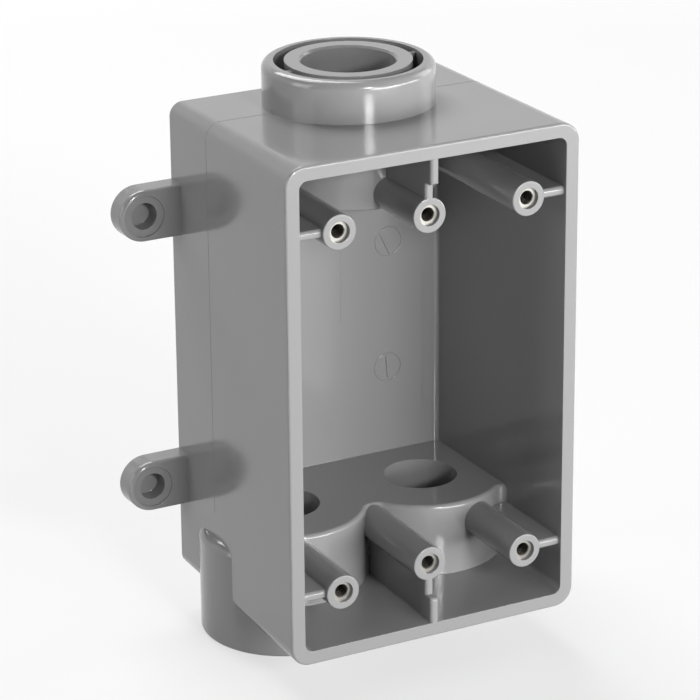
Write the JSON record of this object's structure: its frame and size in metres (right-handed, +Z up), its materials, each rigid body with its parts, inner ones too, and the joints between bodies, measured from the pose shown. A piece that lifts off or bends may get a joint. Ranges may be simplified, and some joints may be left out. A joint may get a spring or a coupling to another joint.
{
  "type": "weatherproof box",
  "caption": "Deep open-fronted plastic wiring box with conduit hubs above and below, threaded screw bosses inside and side ears for fixing it to a wall.",
  "frame": {"origin": "middle of the back face, which lies on the wall", "axes": "+Z up, +Y into the wall, open front towards -Y, +X to the right seen from the front"},
  "size_m": [0.1016, 0.0602, 0.1354],
  "materials": {
    "moulded_pvc": "smooth gloss",
    "insert_metal": "turned"
  },
  "bodies": {
    "root": {"box_body": "moulded_pvc", "cover_insert_top_left": "insert_metal", "cover_insert_top_right": "insert_metal", "cover_insert_bottom_left": "insert_metal", "cover_insert_bottom_right": "insert_metal", "device_insert_top": "insert_metal", "device_insert_bottom": "insert_metal"}
  },
  "joints": []
}
